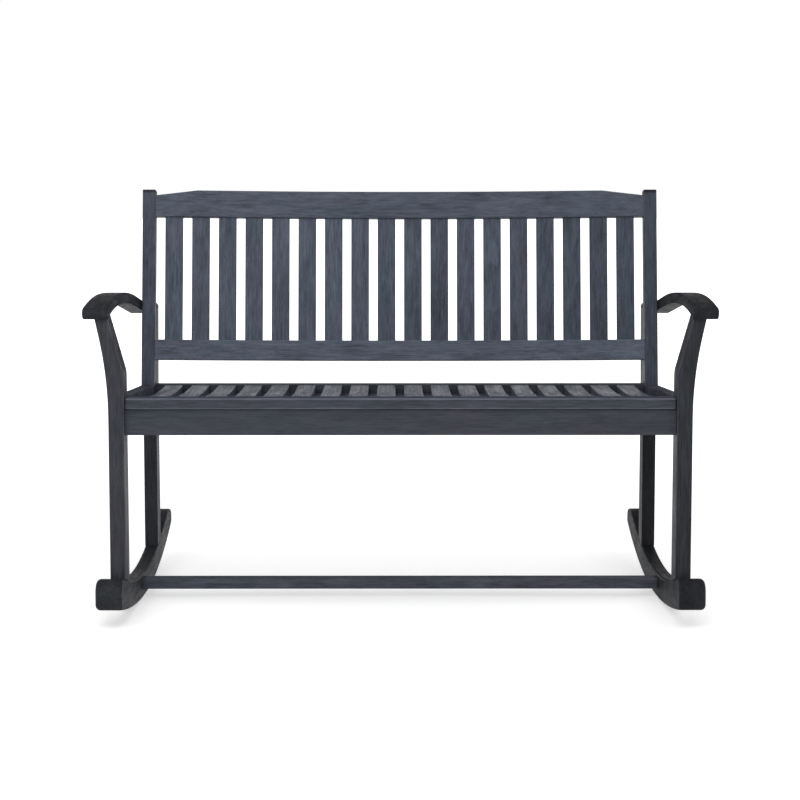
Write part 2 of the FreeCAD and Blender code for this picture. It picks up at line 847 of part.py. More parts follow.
def build():
    spots = bolt_spots()
    bolts = both_sides([bolt(y, z) for y, z, _ in spots])
    bolt_holes = both_sides([bolt_hole(y, z) for y, z, _ in spots])
    nuts = both_sides([barrel_nut(y, z, way) for y, z, way in spots])
    nut_holes = both_sides([barrel_hole(y, z, way) for y, z, way in spots])
    side_screws = stile_screws() + arm_screws()
    seat_screws = slat_screws()
    screws = both_sides([screw(tip, way) for tip, way, _ in side_screws])
    screws += [screw(tip, way) for tip, way, _ in seat_screws]
    side_screw_holes = [screw_hole(*spot) for spot in side_screws]
    seat_screw_holes = [screw_hole(*spot) for spot in seat_screws]
    right_bolt_holes = bolt_holes[:len(spots)]

    nodes = {}
    arm = arm_board()
    rail = side_rail()
    boards = bearers()
    right = {
        "rocker": cut_all(rocker_board(), [front_foot_tenon(), rear_foot_tenon()] + right_bolt_holes),
        "toe_block": toe_block(),
        "front_leg": cut_all(front_leg(), side_rail_tenons() + right_bolt_holes),
        "rear_leg": cut_all(rear_leg(), side_rail_tenons() + right_bolt_holes + side_screw_holes),
        "arm": cut_all(arm, [arm_tenon()] + side_screw_holes),
        "seat_side_rail": cut_all(rail, boards),
    }
    top = top_rail()
    bottom = bottom_rail()
    back_tenons = [top, bottom]
    right["back_stile"] = cut_all(back_stile(), [rail] + back_tenons + side_screw_holes)
    for name, shape in right.items():
        nodes[name + "_right"] = shape
        nodes[name + "_left"] = mirrored(shape)

    for index in range(slat_count):
        number = "_%02d" % (index + 1)
        back_piece = back_slat(index)
        nodes["back_slat" + number] = back_piece
        top = top.cut(back_piece)
        bottom = bottom.cut(back_piece)
        seat_piece = seat_slat(index)
        x = slat_x(index)
        near = [hole for hole, spot in zip(seat_screw_holes, seat_screws) if same(spot[0].x, x)]
        nodes["seat_slat" + number] = cut_all(seat_piece, boards + near)
    nodes["back_top_rail"] = top
    nodes["back_bottom_rail"] = bottom

    nodes["seat_front_cap"] = seat_cap()
    nodes["seat_front_apron"] = cut_all(seat_apron(), bolt_holes + nut_holes)
    nodes["seat_rear_rail"] = cut_all(seat_rear_rail(), bolt_holes + nut_holes)
    nodes["rocker_stretcher"] = cut_all(stretcher(), bolt_holes + nut_holes)
    nodes["seat_bearers"] = Part.makeCompound([cut_all(board, seat_screw_holes) for board in boards])
    nodes["frame_bolts"] = Part.makeCompound(bolts)
    nodes["barrel_nuts"] = Part.makeCompound(nuts)
    nodes["wood_screws"] = Part.makeCompound(screws)
    return nodes


os.makedirs("parts", exist_ok=True)
for node_name, node_shape in build().items():
    node_shape.exportStep("parts/" + node_name + ".step")
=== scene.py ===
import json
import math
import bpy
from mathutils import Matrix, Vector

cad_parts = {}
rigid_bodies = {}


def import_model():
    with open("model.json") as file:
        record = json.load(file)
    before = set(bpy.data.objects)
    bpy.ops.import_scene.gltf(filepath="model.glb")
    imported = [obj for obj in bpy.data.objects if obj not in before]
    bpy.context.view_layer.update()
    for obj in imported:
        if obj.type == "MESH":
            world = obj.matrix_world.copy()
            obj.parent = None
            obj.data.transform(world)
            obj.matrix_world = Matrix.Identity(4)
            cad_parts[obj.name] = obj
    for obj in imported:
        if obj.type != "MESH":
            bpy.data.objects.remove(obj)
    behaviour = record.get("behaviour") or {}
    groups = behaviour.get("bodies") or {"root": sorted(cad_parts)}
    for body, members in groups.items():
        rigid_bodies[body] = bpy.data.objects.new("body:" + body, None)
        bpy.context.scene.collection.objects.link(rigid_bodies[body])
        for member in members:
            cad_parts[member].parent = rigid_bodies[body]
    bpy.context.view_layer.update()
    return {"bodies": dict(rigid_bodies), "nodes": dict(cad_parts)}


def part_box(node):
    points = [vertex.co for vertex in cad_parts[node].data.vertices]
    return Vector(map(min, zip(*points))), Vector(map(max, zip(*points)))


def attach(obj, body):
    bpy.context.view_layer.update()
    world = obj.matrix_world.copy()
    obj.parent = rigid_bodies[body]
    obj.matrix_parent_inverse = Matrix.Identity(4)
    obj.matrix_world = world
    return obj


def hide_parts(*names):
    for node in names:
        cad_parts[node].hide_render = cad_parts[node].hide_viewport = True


bl_info = {
    "name": "Rocking Bench",
    "version": (1, 0, 0),
    "blender": (4, 5, 0),
    "location": "3D View > Sidebar > Bench",
    "description": "Stains a slatted rocking bench, details its hardware and sets its studio",
    "category": "Object",
}

import bmesh
import bpy
import numpy as np
from bpy.props import FloatProperty, FloatVectorProperty, PointerProperty
from bpy.types import Operator, Panel, PropertyGroup
from mathutils import Euler, Matrix, Vector

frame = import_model()
cad_pieces = frame["nodes"]
body = list(frame["bodies"])[0]


# Sizes and colours that a user would change


class StainSettings(PropertyGroup):
    """The charcoal stain and the wood grain that shows through it."""

    cool_colour: FloatVectorProperty(
        name="Cool grey",
        description="Stain on the back and the slats",
        subtype="COLOR",
        size=3,
        min=0.0,
        max=1.0,
        default=(0.0680, 0.0780, 0.1020),
    )
    front_colour: FloatVectorProperty(
        name="Front grey",
        description="Stain on the seat's front boards and the stretcher",
        subtype="COLOR",
        size=3,
        min=0.0,
        max=1.0,
        default=(0.0590, 0.0635, 0.0790),
    )
    plain_colour: FloatVectorProperty(
        name="Plain grey",
        description="Stain on the legs, arms and rockers",
        subtype="COLOR",
        size=3,
        min=0.0,
        max=1.0,
        default=(0.0280, 0.0293, 0.0345),
    )
    grain_contrast: FloatProperty(
        name="Grain contrast",
        description="How far the streaks differ from the stain's mean colour",
        subtype="FACTOR",
        min=0.0,
        max=1.0,
        default=0.5,
    )
    board_contrast: FloatProperty(
        name="Board contrast",
        description="How far one board's tone differs from the next",
        subtype="FACTOR",
        min=0.0,
        max=1.0,
        default=0.16,
    )
    streak_width: FloatProperty(
        name="Streak width",
        description="Width of one streak across the grain",
        unit="LENGTH",
        min=0.001,
        max=0.05,
        default=0.0045,
    )
    ring_spacing: FloatProperty(
        name="Ring spacing",
        description="Distance between growth rings",
        unit="LENGTH",
        min=0.001,
        max=0.05,
        default=0.0042,
    )
    # Painted highlight: the colour is drawn lighter on the chosen edges, in place of light caught
    # by their rounded arrises.
    edge_brightening: FloatProperty(
        name="Edge highlight",
        description="How much lighter the stain is on the rubbed edges",
        subtype="FACTOR",
        min=0.0,
        max=2.0,
        default=0.9,
    )
    pore_depth: FloatProperty(
        name="Pore depth",
        description="Depth of the open pores in the surface",
        unit="LENGTH",
        min=0.0,
        max=0.002,
        default=0.00035,
    )
    gloss_roughness: FloatProperty(
        name="Roughness",
        description="Mean roughness of the satin finish",
        subtype="FACTOR",
        min=0.0,
        max=1.0,
        default=0.5,
    )


class HardwareSettings(PropertyGroup):
    """Sizes and colours of the bolts, barrel nuts and wood screws."""

    bolt_colour: FloatVectorProperty(
        name="Bolt black",
        description="Black finish of the socket bolts",
        subtype="COLOR",
        size=3,
        min=0.0,
        max=1.0,
        default=(0.05, 0.05, 0.055),
    )
    zinc_colour: FloatVectorProperty(
        name="Zinc",
        description="Zinc plating of the barrel nuts and the wood screws",
        subtype="COLOR",
        size=3,
        min=0.0,
        max=1.0,
        default=(0.5, 0.5, 0.52),
    )
    bolt_head_radius: FloatProperty(
        name="Bolt head",
        description="Radius of a bolt's head",
        unit="LENGTH",
        default=0.005,
    )
    bolt_head_height: FloatProperty(
        name="Bolt head height",
        description="Height of a bolt's head",
        unit="LENGTH",
        default=0.006,
    )
    bolt_radius: FloatProperty(
        name="Bolt shank",
        description="Radius of a bolt over its thread",
        unit="LENGTH",
        default=0.003,
    )
    key_width: FloatProperty(
        name="Hexagon key",
        description="Width of a bolt's hexagonal socket between its flats",
        unit="LENGTH",
        default=0.0046,
    )
    screw_head_radius: FloatProperty(
        name="Screw head",
        description="Radius of a wood screw's head",
        unit="LENGTH",
        default=0.00425,
    )
    screw_head_height: FloatProperty(
        name="Screw head height",
        description="Height of a wood screw's head",
        unit="LENGTH",
        default=0.003,
    )
    screw_radius: FloatProperty(
        name="Screw shank",
        description="Radius of a wood screw over its thread",
        unit="LENGTH",
        default=0.00225,
    )


class StageSettings(PropertyGroup):
    """The floor, the lamps and the camera."""

    floor_colour: FloatVectorProperty(
        name="Floor",
        description="Colour of the floor",
        subtype="COLOR",
        size=3,
        min=0.0,
        max=1.0,
        default=(0.92, 0.92, 0.92),
    )
    floor_lift: FloatProperty(
        name="Floor lift",
        description="White that the seen floor gives off, so that the open floor shows white",
        min=0.0,
        max=1.0,
        default=0.505,
    )
    ceiling_reflection: FloatProperty(
        name="Ceiling in gloss",
        description="Brightness of the ceiling in reflections, above the white backdrop",
        subtype="FACTOR",
        min=0.0,
        max=1.0,
        default=0.08,
    )
    rear_level: FloatProperty(
        name="Rear wall",
        description="Brightness of the pale wall behind the bench for matt surfaces",
        min=0.0,
        max=3.0,
        default=0.5,
    )
    right_level: FloatProperty(
        name="Right wall",
        description="Brightness of the pale wall at the bench's right for matt surfaces",
        min=0.0,
        max=3.0,
        default=0.9,
    )
    left_level: FloatProperty(
        name="Left wall",
        description="Brightness of the pale wall at the bench's left for matt surfaces",
        min=0.0,
        max=3.0,
        default=0.6,
    )
    ceiling_level: FloatProperty(
        name="Ceiling",
        description="Brightness of the ceiling for matt surfaces",
        min=0.0,
        max=3.0,
        default=0.76,
    )
    camera_height: FloatProperty(
        name="Camera height",
        description="Height of the lens above the floor",
        unit="LENGTH",
        default=0.838,
    )
    camera_distance: FloatProperty(
        name="Camera distance",
        description="Distance of the lens in front of the bench's centre",
        unit="LENGTH",
        default=4.2055,
    )
    camera_side: FloatProperty(
        name="Camera side step",
        description="Place of the lens along the bench's length",
        unit="LENGTH",
        default=-0.014,
    )
    camera_pitch: FloatProperty(
        name="Camera pitch",
        description="How far the camera looks down",
        subtype="ANGLE",
        default=math.radians(5.8),
    )
    camera_turn: FloatProperty(
        name="Camera turn",
        description="How far the camera looks to the right",
        subtype="ANGLE",
        default=math.radians(0.19),
    )
    lens_length: FloatProperty(
        name="Focal length",
        description="Focal length in millimetres on a sensor 36 mm wide",
        min=10.0,
        max=300.0,
        default=88.2,
    )


# Node trees


def add_node(tree, kind, inputs=None, **settings):
    """Adds a node, sets its options, and links or sets its inputs by name or by number."""
    node = tree.nodes.new(kind)
    for name, value in settings.items():
        setattr(node, name, value)
    for name, value in (inputs or {}).items():
        socket = node.inputs[name]
        if isinstance(value, bpy.types.NodeSocket):
            tree.links.new(value, socket)
        else:
            socket.default_value = value
    return node


def computed(tree, operation, first, second=0.0):
    """The result of one math node."""
    return add_node(tree, "ShaderNodeMath", {0: first, 1: second}, operation=operation).outputs[0]


def product(tree, first, second):
    return computed(tree, "MULTIPLY", first, second)


def largest(tree, *values):
    result = values[0]
    for value in values[1:]:
        result = computed(tree, "MAXIMUM", result, value)
    return result


def weighted_sum(tree, *terms):
    """The sum of the terms, each a value and its weight."""
    result = product(tree, *terms[0])
    for value, weight in terms[1:]:
        result = computed(tree, "ADD", result, product(tree, value, weight))
    return result


def stretched(tree, place, along):
    """Coordinates shortened along the grain, so that a texture on them is drawn out along it."""
    inputs = {0: place, 1: (along, 1.0, 1.0)}
    return add_node(tree, "ShaderNodeVectorMath", inputs, operation="MULTIPLY").outputs[0]


def scaled(tree, vector, factor):
    inputs = {0: vector, "Scale": factor}
    return add_node(tree, "ShaderNodeVectorMath", inputs, operation="SCALE").outputs[0]


def ranged(tree, value, low, high, to_low=0.0, to_high=1.0):
    """The value moved from one range to another, and held inside it."""
    return add_node(tree, "ShaderNodeMapRange", {
        "Value": value,
        "From Min": low,
        "From Max": high,
        "To Min": to_low,
        "To Max": to_high,
    }).outputs["Result"]


def parts_of(tree, vector):
    return add_node(tree, "ShaderNodeSeparateXYZ", {0: vector}).outputs


def mixed(tree, share, first, second):
    """A mix of two colours. The node's colour inputs are numbers 6 and 7, its colour output 2."""
    inputs = {0: share, 6: first, 7: second}
    return add_node(tree, "ShaderNodeMix", inputs, data_type="RGBA").outputs[2]


def noise(tree, place, size, detail, roughness=0.6):
    """Noise whose largest features are about this size."""
    return add_node(tree, "ShaderNodeTexNoise", {
        "Vector": place,
        "Scale": 1.0 / size,
        "Detail": detail,
        "Roughness": roughness,
    }).outputs["Fac"]


def new_material(name):
    """A material with an empty node tree, and the tree."""
    material = bpy.data.materials.new(name)
    material.use_nodes = True
    material.node_tree.nodes.clear()
    return material, material.node_tree


# The stained wood

GRAIN_LENGTHWISE = (0.0, 0.0, 0.0)
GRAIN_FRONT_TO_BACK = (0.0, 0.0, -math.pi / 2)
GRAIN_UPRIGHT = (0.0, math.pi / 2, 0.0)

# Each board is cut from another place of one log, whose heart lies along the X axis.
LOG_LENGTH = 9.0
LOG_SIDEWAYS = (-0.45, 0.45)
LOG_OFF_HEART = (0.05, 0.35)

PATCH_SIZE = 0.022
TINT_SIZE = 0.045
PORE_SIZE = 0.0009
# The distance between the rings of Blender's wave texture at a scale of 1.
WAVE_SPACING = 0.314

# The values over which the shade, the pores, the tint, the roughness and the painted edge
# highlight change.
SHADE_RANGE = (0.38, 0.76)
PORE_RANGE = (0.36, 0.46)
TINT_RANGE = (0.35, 0.65)
ROUGHNESS_RANGE = (0.42, 0.72)
HIGHLIGHT_RANGE = (0.25, 0.8)

CYAN_CAST = (0.96, 1.02, 1.0)
VIOLET_CAST = (1.03, 0.985, 1.01)
PORE_SHADE = 0.78
ROUGHNESS_SPREAD = 0.12
DULLED_ROUGHNESS = 0.25

# The dark band begins and is complete at these distances below a stile's top.
END_BAND_START = 0.009
END_BAND_FULL = 0.004
END_BAND_SHADE = 0.35


def own_place(tree, turn):
    """The place in the board's own wood with the grain along X, and the board's random number."""
    place = add_node(tree, "ShaderNodeTexCoord").outputs["Object"]
    inputs = {"Vector": place, "Rotation": turn}
    along_grain = add_node(tree, "ShaderNodeMapping", inputs).outputs["Vector"]
    chance = add_node(tree, "ShaderNodeObjectInfo").outputs["Random"]
    second_chance = computed(tree, "MODULO", product(tree, chance, 7.0), 1.0)
    shift = add_node(tree, "ShaderNodeCombineXYZ", {
        "X": product(tree, chance, LOG_LENGTH),
        "Y": ranged(tree, chance, 0.0, 1.0, *LOG_SIDEWAYS),
        "Z": ranged(tree, second_chance, 0.0, 1.0, *LOG_OFF_HEART),
    }).outputs["Vector"]
    shifted = add_node(tree, "ShaderNodeVectorMath", {0: along_grain, 1: shift}).outputs[0]
    return shifted, chance


def arris(tree, first, second):
    """0 on a flat and 1 halfway round an edge, for the edges between faces of the two axes."""
    parts = parts_of(tree, add_node(tree, "ShaderNodeTexCoord").outputs["Normal"])
    facing_both = product(tree, product(tree, parts[first], parts[second]), 2.0)
    return computed(tree, "ABSOLUTE", facing_both)


def below_end(tree, top):
    """1 on the board, and darker in a band at its upper end."""
    height = parts_of(tree, add_node(tree, "ShaderNodeTexCoord").outputs["Object"])["Z"]
    return ranged(tree, height, top - END_BAND_START, top - END_BAND_FULL, 1.0, END_BAND_SHADE)


def wood_material(
    name, colour, turn, tone=1.0, worn_edges="", dark_top=None, gloss=0.06, dulled=0.0, calm=1.0
):
    """Stained hardwood: growth rings, streaks and pores along the grain under a satin finish.

    The tone scales the colour. It is partly how light these boards took the stain, and partly
    painted shade, since pieces on which less light falls are set darker. calm weakens their
    figure. The edges between faces of the two axes named get a painted highlight. dark_top is the
    height of an upper end with a dark band. Gloss is the finish's specular level, and dulled makes
    it rougher.
    """
    stain = bpy.context.scene.bench_stain
    material, tree = new_material(name)
    place, chance = own_place(tree, turn)

    def streaked(along, size, detail, roughness=0.6):
        return noise(tree, stretched(tree, place, along), size, detail, roughness)

    streaks = streaked(along=0.11, size=stain.streak_width, detail=5.0, roughness=0.66)
    long_streaks = streaked(along=0.025, size=stain.streak_width, detail=3.0)
    patches = streaked(along=0.2, size=PATCH_SIZE, detail=3.0)
    tint = streaked(along=0.3, size=TINT_SIZE, detail=2.0)
    rings = add_node(tree, "ShaderNodeTexWave", {
        "Vector": stretched(tree, place, along=0.05),
        "Scale": WAVE_SPACING / stain.ring_spacing,
        "Distortion": 5.0,
        "Detail": 3.0,
        "Detail Scale": 0.35,
        "Detail Roughness": 0.6,
    }, wave_type="RINGS", rings_direction="X", wave_profile="SAW").outputs["Fac"]
    pores = streaked(along=0.03, size=PORE_SIZE, detail=2.0, roughness=0.5)
    between_pores = ranged(tree, pores, *PORE_RANGE)

    figure = weighted_sum(
        tree, (streaks, 0.5), (patches, 0.38), (long_streaks, 0.2), (rings, 0.08)
    )
    contrast = stain.grain_contrast * calm
    half_spread = stain.board_contrast / 2
    shade = ranged(tree, figure, *SHADE_RANGE, 1.0 - contrast, 1.0 + contrast)
    shade = product(tree, shade, ranged(tree, between_pores, 0.0, 1.0, PORE_SHADE, 1.0))
    own_tone = ranged(tree, chance, 0.0, 1.0, 1.0 - half_spread, 1.0 + half_spread)
    shade = product(tree, shade, own_tone)
    # Painted highlight: the colour is lightened on the edges between faces of the two axes named,
    # where light would catch the rounded arrises.
    if worn_edges:
        glinting = ranged(tree, arris(tree, *worn_edges), *HIGHLIGHT_RANGE, 1.0, 1.0 + stain.edge_brightening)
        shade = product(tree, shade, glinting)
    if dark_top:
        shade = product(tree, shade, below_end(tree, dark_top))

    def stained(cast):
        return (*(tone * part * share for part, share in zip(colour, cast)), 1.0)

    cast_share = ranged(tree, tint, *TINT_RANGE)
    own_colour = mixed(tree, cast_share, stained(CYAN_CAST), stained(VIOLET_CAST))
    rough = stain.gloss_roughness + DULLED_ROUGHNESS * dulled
    relief = weighted_sum(tree, (streaks, 0.35), (between_pores, 0.5), (rings, 0.15))
    bump = add_node(tree, "ShaderNodeBump", {
        "Height": relief,
        "Strength": 0.35,
        "Distance": stain.pore_depth,
    }).outputs["Normal"]
    surface = add_node(tree, "ShaderNodeBsdfPrincipled", {
        "Base Color": scaled(tree, own_colour, shade),
        "Roughness": ranged(
            tree, figure, *ROUGHNESS_RANGE, rough + ROUGHNESS_SPREAD, rough - ROUGHNESS_SPREAD
        ),
        "Normal": bump,
        "Specular IOR Level": gloss,
    }).outputs["BSDF"]
    add_node(tree, "ShaderNodeOutputMaterial", {"Surface": surface})
    return material


def grain_leaning():
    """Turns the grain of the leaning back onto X. A middle slat's box gives the lean."""
    low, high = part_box("back_slat_09")
    lean = math.atan2(high.y - low.y, high.z - low.z)
    upright = Euler(GRAIN_UPRIGHT).to_matrix() @ Matrix.Rotation(lean, 3, "X")
    return tuple(upright.to_euler())


def stain_boards(names, title, colour, turn, **details):
    """Gives the boards one finish of their own. The details are wood_material's."""
    material = wood_material(f"stained wood, {title}", colour, turn, **details)
    for name in names:
        cad_pieces[name].data.materials.clear()
        cad_pieces[name].data.materials.append(material)


def both(name):
    return [f"{name}_{side}" for side in ("left", "right")]


def numbered(name, count=18):
    return [f"{name}_{number:02d}" for number in range(1, count + 1)]


# Operators for the wooden pieces


class BENCH_OT_rockers(Operator):
    """Stain the rockers, their toe blocks and the stretcher"""

    bl_idname = "bench.rockers"
    bl_label = "Rockers"

    def execute(self, context):
        stain = context.scene.bench_stain
        # Painted shade: the right rocker and toe block take lower tones than the left ones,
        # because the light falls from the left.
        for side, rocker_tone_and_shade, toe_tone_and_shade, gloss in (
            ("left", 1.1, 1.1, 0.06),
            ("right", 0.8, 0.87, 0.045),
        ):
            stain_boards(
                [f"rocker_{side}"], f"{side} rocker", stain.plain_colour, GRAIN_FRONT_TO_BACK,
                tone=rocker_tone_and_shade, gloss=gloss, dulled=0.2,
            )
            stain_boards(
                [f"toe_block_{side}"], f"{side} toe", stain.plain_colour, GRAIN_FRONT_TO_BACK,
                tone=toe_tone_and_shade,
            )
        stain_boards(
            ["rocker_stretcher"], "stretcher", stain.front_colour, GRAIN_LENGTHWISE,
            tone=1.55, gloss=0.02, dulled=1.0,
        )
        return {"FINISHED"}


class BENCH_OT_legs(Operator):
    """Stain the front and rear legs"""

    bl_idname = "bench.legs"
    bl_label = "Legs"

    def execute(self, context):
        colour = context.scene.bench_stain.plain_colour
        # Painted shade: the right legs take lower tones than the left ones, because the light
        # falls from the left.
        for side, front_tone_and_shade, rear_tone_and_shade in (("left", 1.68, 1.4), ("right", 1.22, 0.92)):
            stain_boards(
                [f"front_leg_{side}"], f"{side} front leg", colour, GRAIN_UPRIGHT,
                tone=front_tone_and_shade, worn_edges="XY",
            )
            stain_boards(
                [f"rear_leg_{side}"], f"{side} rear leg", colour, GRAIN_UPRIGHT,
                tone=rear_tone_and_shade,
            )
        return {"FINISHED"}


class BENCH_OT_arms(Operator):
    """Stain the arched armrests"""

    bl_idname = "bench.arms"
    bl_label = "Armrests"

    def execute(self, context):
        colour = context.scene.bench_stain.plain_colour
        # Painted shade: the right arm takes a lower tone than the left, because the light falls
        # from the left.
        for side, tone in (("left", 1.06), ("right", 0.8)):
            stain_boards(
                [f"arm_{side}"], f"{side} arm", colour, GRAIN_FRONT_TO_BACK,
                tone=tone, gloss=0.035, dulled=0.15,
            )
        return {"FINISHED"}


class BENCH_OT_seat(Operator):
    """Stain the seat's slats, rails, cap and bearers"""

    bl_idname = "bench.seat"
    bl_label = "Seat"

    def execute(self, context):
        stain = context.scene.bench_stain
        stain_boards(
            numbered("seat_slat"), "seat slats", stain.cool_colour, GRAIN_FRONT_TO_BACK,
            tone=1.13, gloss=0.14, dulled=-0.3,
        )
        stain_boards(
            both("seat_side_rail"), "side rails", stain.front_colour, GRAIN_FRONT_TO_BACK,
            gloss=0.03, dulled=0.8,
        )
        stain_boards(
            ["seat_front_cap"], "front cap", stain.front_colour, GRAIN_LENGTHWISE,
            tone=1.05, worn_edges="YZ", gloss=0.012, dulled=0.6, calm=0.8,
        )
        stain_boards(
            ["seat_front_apron"], "front apron", stain.front_colour, GRAIN_LENGTHWISE,
            calm=0.5,
        )
        stain_boards(
            ["seat_rear_rail", "seat_bearers"], "rear rail", stain.front_colour, GRAIN_LENGTHWISE
        )
        return {"FINISHED"}


class BENCH_OT_back(Operator):
    """Stain the stiles, rails and slats of the leaning back"""

    bl_idname = "bench.back"
    bl_label = "Back"

    def execute(self, context):
        colour = context.scene.bench_stain.cool_colour
        leaning = grain_leaning()
        stile_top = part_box("back_stile_left")[1].z
        slats = numbered("back_slat")
        # Painted shade: the slats are set darker from left to right, because the light falls from
        # the left.
        for group, title, tone in (
            (slats[:9], "left slats", 1.48),
            (slats[9:14], "middle slats", 1.31),
            (slats[14:], "right slats", 1.1),
        ):
            stain_boards(group, title, colour, leaning, tone=tone)
        # Painted shade: the right stile takes a lower tone than the left, because the light falls
        # from the left.
        for side, tone in (("left", 1.08), ("right", 0.9)):
            stain_boards(
                [f"back_stile_{side}"], f"{side} stile", colour, leaning,
                tone=tone, dark_top=stile_top,
            )
        stain_boards(["back_top_rail"], "top rail", colour, GRAIN_LENGTHWISE, tone=1.36)
        stain_boards(["back_bottom_rail"], "bottom rail", colour, GRAIN_LENGTHWISE, tone=1.95)
        return {"FINISHED"}


# The hardware: its places come from the CAD solids, and its details from turned rings

BOLT_HEAD_CHAMFER = 0.0003
SCREW_HEAD_CHAMFER = 0.0002
NUT_CHAMFER = 0.0005
RINGS_PER_TURN = 3
SHARP_EDGE_ANGLE = math.radians(32.0)
# Points of one solid nearer together than this are the same point.
SAME_POINT = 1e-6

BARE_STEEL = (0.45, 0.44, 0.43, 1.0)
CLOUD_SIZE = 0.004
SCUFF_SIZE = 0.0011
SCRATCH_SIZE = 1.0 / 4500.0
SCRATCH_DEPTH = 0.00004
SCUFF_RANGE = (0.6, 0.68)
CLOUD_RANGE = (0.3, 0.7)
CLOUD_SHADES = (0.85, 1.15)
SCRATCH_RANGE = (0.3, 0.7)
STEEL_ROUGHNESS = (0.32, 0.48)


def solids_in(node):
    """The points of each separate solid of a CAD node, as arrays."""
    form = bmesh.new()
    form.from_mesh(cad_pieces[node].data)
    bmesh.ops.remove_doubles(form, verts=form.verts, dist=SAME_POINT)
    form.verts.ensure_lookup_table()
    waiting = set(range(len(form.verts)))
    solids = []
    while waiting:
        reached = [form.verts[min(waiting)]]
        waiting.discard(reached[0].index)
        for vert in reached:
            for edge in vert.link_edges:
                other = edge.other_vert(vert)
                if other.index in waiting:
                    waiting.discard(other.index)
                    reached.append(other)
        solids.append(np.array([vert.co for vert in reached]))
    form.free()
    return solids


def seat_of(points, open_side=None):
    """The place of a long solid's start, with Z along it towards its head or its open side.

    The second value is its length. The head is the wider end.
    """
    middle = points.mean(axis=0)
    way = np.linalg.svd(points - middle)[2][0]
    along = (points - middle) @ way
    radii = np.linalg.norm(points - middle - np.outer(along, way), axis=1)
    length = along.max() - along.min()
    if open_side is None:
        near_end = length / 100
        far_radius = radii[along > along.max() - near_end].max()
        near_radius = radii[along < along.min() + near_end].max()
        forward = far_radius >= near_radius
    else:
        forward = way @ np.array(open_side) > 0
    way, start = (way, along.min()) if forward else (-way, -along.max())
    upward = Vector(way)
    level = Vector((1.0, 0.0, 0.0)) if abs(upward.x) < 0.5 else Vector((0.0, 1.0, 0.0))
    level = (level - upward * level.dot(upward)).normalized()
    turn = Matrix((level, upward.cross(level), upward)).transposed().to_4x4()
    return Matrix.Translation(Vector(middle) + upward * start) @ turn, length


def round_ring(radius):
    return lambda angle: radius


def hexagon_ring(width):
    """A hexagon of this width between its flats."""
    sixth = math.pi / 3
    return lambda angle: width / 2 / math.cos((angle + sixth / 2) % sixth - sixth / 2)


def cross_ring(reach, half_width):
    """A cross of four arms."""
    def radius(angle):
        over, along = sorted((abs(math.cos(angle)), abs(math.sin(angle))))
        return min(reach / along, half_width / max(over, 1e-6))
    return radius


def thread_ring(radius, depth, pitch, height):
    """One ring of a thread, widest where the ridge passes."""
    def at(angle):
        phase = (height / pitch - angle / math.tau) % 1.0
        return radius - depth * abs(2.0 * phase - 1.0)
    return at


def thread_rings(radius, depth, pitch, start, end):
    """The rings of a thread between two heights."""
    steps = round((end - start) / pitch * RINGS_PER_TURN)
    heights = [start + (end - start) * step / steps for step in range(steps + 1)]
    return [(thread_ring(radius, depth, pitch, height), height) for height in heights]


def turned(form, rings, segments, place):
    """Adds a closed shape of rings, each a radius by angle and a height."""
    angles = [math.tau * step / segments for step in range(segments)]
    rows = []
    for radius, height in rings:
        points = [
            (radius(angle) * math.cos(angle), radius(angle) * math.sin(angle), height)
            for angle in angles
        ]
        rows.append([form.verts.new(place @ Vector(point)) for point in points])
    for low, high in zip(rows, rows[1:]):
        for step in range(segments):
            after = (step + 1) % segments
            form.faces.new((low[step], low[after], high[after], high[step]))
    form.faces.new(rows[0][::-1])
    form.faces.new(rows[-1])


def bolt_rings(length):
    """A socket bolt from its tip to its head, with a hexagonal socket."""
    metal = bpy.context.scene.bench_hardware
    radius, head = metal.bolt_radius, metal.bolt_head_radius
    seat = length - metal.bolt_head_height
    tip, core = round_ring(radius * 0.75), round_ring(radius * 0.97)
    thread_start, thread_end, run_out = 0.0007, 0.027, 0.0005
    socket = hexagon_ring(metal.key_width)
    socket_rim, drill_point = round_ring(metal.key_width * 0.62), round_ring(0.0006)
    socket_lead, socket_depth, drill_depth = 0.0004, 0.0034, 0.0039
    rings = [(tip, 0.0)]
    rings += thread_rings(
        radius, depth=0.00045, pitch=0.001, start=thread_start, end=thread_end
    )
    rings += [
        (core, thread_end + run_out),
        (core, seat - run_out),
        (round_ring(radius), seat),
        (round_ring(head - BOLT_HEAD_CHAMFER), seat),
        (round_ring(head), seat + BOLT_HEAD_CHAMFER),
    ]
    # The crown's rings, by how far they lie inside the head's side and below its top.
    crown = ((0.0, 0.0007), (0.0002, 0.0003), (0.0006, 0.0))
    rings += [(round_ring(head - inside), length - below) for inside, below in crown]
    rings += [
        (socket_rim, length),
        (socket, length - socket_lead),
        (socket, length - socket_depth),
        (drill_point, length - drill_depth),
    ]
    return rings


